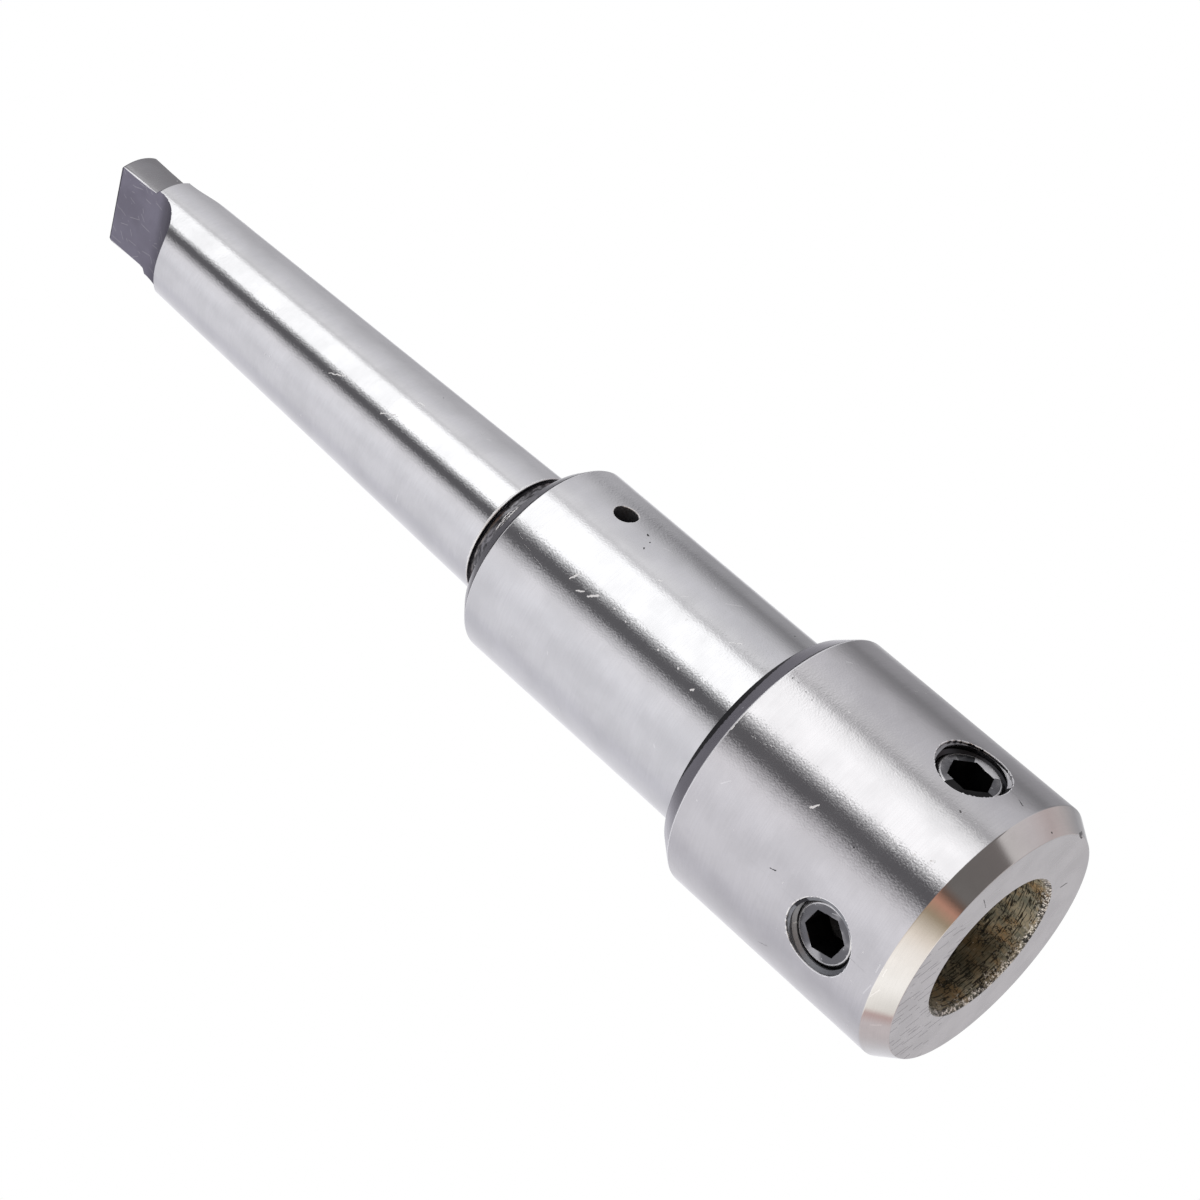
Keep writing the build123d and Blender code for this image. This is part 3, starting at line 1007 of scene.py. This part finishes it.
def screwFinish(turn):
    s = screwSizes
    outward = Vector((math.cos(math.radians(turn)), math.sin(math.radians(turn)), 0))

    def choose(centre, normal):
        along = centre.dot(outward)
        fromAxis = (centre - outward * along - Vector((0, 0, s["height"]))).length
        leaning = normal.dot(outward)
        inSocket = fromAxis < s["mouthRadius"] + 0.05 and along > s["face"] - s["hexDepth"] - 2
        # the hex socket, painted shade
        if inSocket and (leaning < 0.3 or along < s["face"] - 1):
            return "paintedShadeSocket"
        # the face's outer rim: worn bright, with a painted highlight, left out where the +Y rim lies in
        # painted shade
        if along > s["face"] - 0.14 and leaning > 0.3 and fromAxis > s["faceRadius"] - 0.1:
            if turn == 0 or 15 < math.degrees(math.atan2(centre.z - s["height"], centre.x)) % 360 < 275:
                return "rubbedRimAndHighlight"
        if along > s["face"] - 0.5 and leaning > 0.2:
            if turn == 0:
                return "wornOxide"
            # on +Y the ring is painted by bearing as light and shade: a painted highlight, black painted
            # shade, dark oxide and grey worn oxide
            bearing = math.degrees(math.atan2(centre.z - s["height"], centre.x)) % 360
            if 150 < bearing < 215:
                return "rubbedRimAndHighlight"
            if bearing < 15 or bearing > 275:
                return "paintedShadeSocket"
            return "blackOxide" if 108 < bearing < 150 else "wornOxide"
        return "blackOxide"

    return choose


# camera, world and floor

cameraSizes = {
    "lens": 92.17,
    "place": (257.677, 217.073, -102.522),
    "right": (-0.680792, 0.286333, -0.674192),
    "up": (-0.259362, 0.766562, 0.587464),
    "back": (0.685021, 0.574801, -0.447606),
}


def makeCamera():
    cameraData = bpy.data.cameras.new("camera")
    cameraData.lens = cameraSizes["lens"]
    cameraData.sensor_width = 36.0
    cameraData.clip_start = 0.01
    camera = bpy.data.objects.new("camera", cameraData)
    bpy.context.scene.collection.objects.link(camera)
    axes = (Vector(cameraSizes["right"]), Vector(cameraSizes["up"]), Vector(cameraSizes["back"]))
    turn = Matrix(axes).transposed().to_4x4()
    camera.matrix_world = Matrix.Translation(Vector(cameraSizes["place"]) * mm) @ turn
    bpy.context.scene.camera = camera


# the light tent: brightness of its panels by compass angle, above and below the object,
# and two grey cards that hang low and take some of it away
tentPanels = {
    "strength": 1.6,
    "high": [
        (-180, (0.33, 0.325, 0.34)), (-165, (0.3, 0.295, 0.31)), (-157, (0.42, 0.415, 0.43)),
        (-146, (0.7, 0.7, 0.72)), (-128, (0.56, 0.555, 0.58)), (-98, (0.49, 0.485, 0.51)),
        (-80, (0.45, 0.445, 0.475)), (-68, (0.455, 0.45, 0.48)), (-55, (0.5, 0.495, 0.52)),
        (-35, (0.53, 0.525, 0.55)), (-18, (0.515, 0.51, 0.535)), (0, (0.58, 0.575, 0.6)),
        (16, (0.57, 0.56, 0.58)), (27, (0.3, 0.295, 0.305)), (33, (0.08, 0.078, 0.083)),
        (44, (0.08, 0.078, 0.083)), (51, (0.4, 0.4, 0.405)), (55, (0.875, 0.875, 0.88)),
        (91, (0.875, 0.875, 0.88)), (98, (0.54, 0.535, 0.545)), (100.5, (0.45, 0.445, 0.455)),
        (104, (0.54, 0.535, 0.545)), (122, (0.475, 0.47, 0.49)),
        (142, (0.41, 0.405, 0.42)), (162, (0.34, 0.335, 0.35)),
    ],
    "low": [
        (-180, (0.36, 0.33, 0.33)), (-160, (0.4, 0.38, 0.39)), (-120, (0.4, 0.37, 0.38)),
        (-80, (0.43, 0.39, 0.4)), (-71, (0.37, 0.27, 0.26)), (-66, (0.62, 0.6, 0.57)),
        (-40, (0.81, 0.79, 0.765)), (-8, (0.74, 0.7, 0.66)), (6, (0.61, 0.55, 0.49)),
        (18, (0.4, 0.35, 0.29)), (28, (0.25, 0.2, 0.14)), (41, (0.36, 0.19, 0.14)),
        (50, (0.11, 0.07, 0.055)), (58, (0.115, 0.108, 0.105)), (111, (0.125, 0.112, 0.11)),
        (116, (0.43, 0.41, 0.41)), (140, (0.41, 0.38, 0.39)), (160, (0.36, 0.31, 0.31)),
    ],
    "sideCard": [
        (-180, 0.7), (-167, 0.76), (-157, 0.92), (-146, 1.0), (132, 1.0), (142, 0.85), (152, 0.6),
        (163, 0.48), (172, 0.64),
    ],
    "sideCardTop": (29, 25),
    "frontCard": [
        (-180, 0.95), (-164, 1.0), (-156, 0.66), (-146, 0.64), (-132, 0.94), (-100, 0.9), (-80, 0.9),
        (-60, 1.0), (76, 1.0), (91, 0.74), (100, 0.6), (110, 0.84), (132, 0.87), (146, 1.0),
    ],
    "frontCardTop": (24, 20.5),
    "zenith": (0.21, 0.206, 0.22),
    "horizon": (-14, 4),
    "zenithFrom": (38, 57),
}


def fillRamp(ramp, panels):
    elements = ramp.color_ramp.elements
    while len(elements) > 1:
        elements.remove(elements[-1])
    for index, (angle, level) in enumerate(panels):
        position = (angle + 180) / 360
        element = elements[0] if index == 0 else elements.new(position)
        element.position = position
        element.color = (*level, 1) if isinstance(level, tuple) else (level, level, level, 1)
    last = elements.new(1.0)
    last.color = elements[0].color


def mixShaders(tree, factor, first, second, outputKind):
    mix = tree.nodes.new("ShaderNodeMixShader")
    out = tree.nodes.new(outputKind)
    for source, socket in ((factor, mix.inputs[0]), (first.outputs[0], mix.inputs[1]),
                           (second.outputs[0], mix.inputs[2]), (mix.outputs[0], out.inputs[0])):
        tree.links.new(source, socket)


def makeWorld():
    world = bpy.data.worlds.new("lightTent")
    bpy.context.scene.world = world
    world.use_nodes = True
    tree = world.node_tree
    tree.nodes.clear()
    direction = tree.nodes.new("ShaderNodeTexCoord").outputs["Generated"]
    split = splitNode(tree, direction)
    turn = mathNode(tree, "ARCTAN2", split.outputs[1], split.outputs[0])
    turn = mathNode(tree, "MULTIPLY_ADD", turn, 1 / math.tau)
    turn.node.inputs[2].default_value = 0.5
    height = times(tree, mathNode(tree, "ARCSINE", split.outputs[2]), 180 / math.pi)
    ramps = {}
    for name in ("high", "low", "sideCard", "frontCard"):
        ramps[name] = tree.nodes.new("ShaderNodeValToRGB")
        fillRamp(ramps[name], tentPanels[name])
        tree.links.new(turn, ramps[name].inputs[0])
    above = mapRange(tree, height, *tentPanels["horizon"])
    colour = ramps["high"].outputs[0]
    for card in ("sideCard", "frontCard"):
        covered = mapRange(tree, height, *tentPanels[card + "Top"])
        shade = mixColour(tree, covered, (1, 1, 1), ramps[card].outputs[0])
        colour = mixColour(tree, 1.0, colour, shade, "MULTIPLY")
    colour = mixColour(tree, above, ramps["low"].outputs[0], colour)
    overhead = mapRange(tree, height, *tentPanels["zenithFrom"])
    colour = mixColour(tree, overhead, colour, tentPanels["zenith"])
    tent = tree.nodes.new("ShaderNodeBackground")
    tent.inputs[1].default_value = tentPanels["strength"]
    tree.links.new(colour, tent.inputs[0])
    white = tree.nodes.new("ShaderNodeBackground")
    white.inputs[0].default_value = (1, 1, 1, 1)
    path = tree.nodes.new("ShaderNodeLightPath")
    mixShaders(tree, path.outputs["Is Camera Ray"], tent, white, "ShaderNodeOutputWorld")


def makeFloor():
    bm = bmesh.new()
    bmesh.ops.create_grid(bm, x_segments=2, y_segments=2, size=3.0)
    bmesh.ops.translate(bm, verts=bm.verts[:], vec=(0, 0, -0.3 * mm))
    floor = newPiece("floor", bm)
    material = bpy.data.materials.new("paleFloor")
    material.use_nodes = True
    tree = material.node_tree
    tree.nodes.clear()
    pale = tree.nodes.new("ShaderNodeBsdfDiffuse")
    pale.inputs[0].default_value = (0.93, 0.93, 0.93, 1)
    clear = tree.nodes.new("ShaderNodeBsdfTransparent")
    path = tree.nodes.new("ShaderNodeLightPath")
    back = tree.nodes.new("ShaderNodeNewGeometry").outputs["Backfacing"]
    seen = minus(tree, path.outputs["Is Camera Ray"], back)
    seen.node.use_clamp = True
    mixShaders(tree, seen, clear, pale, "ShaderNodeOutputMaterial")
    floor.data.materials.append(material)
    lampData = bpy.data.lights.new("overheadLamp", "AREA")
    lampData.shape = "DISK"
    lampData.size = 1.6
    lampData.energy = 26
    lamp = bpy.data.objects.new("overheadLamp", lampData)
    lamp.location = (0.2, -0.3, 1.6)
    lamp.visible_glossy = False
    bpy.context.scene.collection.objects.link(lamp)


makeCamera()
makeWorld()
makeFloor()
paint(makeBody(), bodyFinish)
screws = (("setScrewX", "set_screw_x", "screw_x"), ("setScrewY", "set_screw_y", "screw_y"))
for name, node, ridingOn in screws:
    paint(makeScrew(name, node, ridingOn), screwFinish(screwSizes["turns"][node][0]))
for name, turn in (("holeThreadX", 0), ("holeThreadY", 90)):
    paint(makeHoleThread(name, turn), lambda centre, normal: holeFinish(centre))
print("painted")
bpy.context.scene.view_settings.view_transform = "Standard"
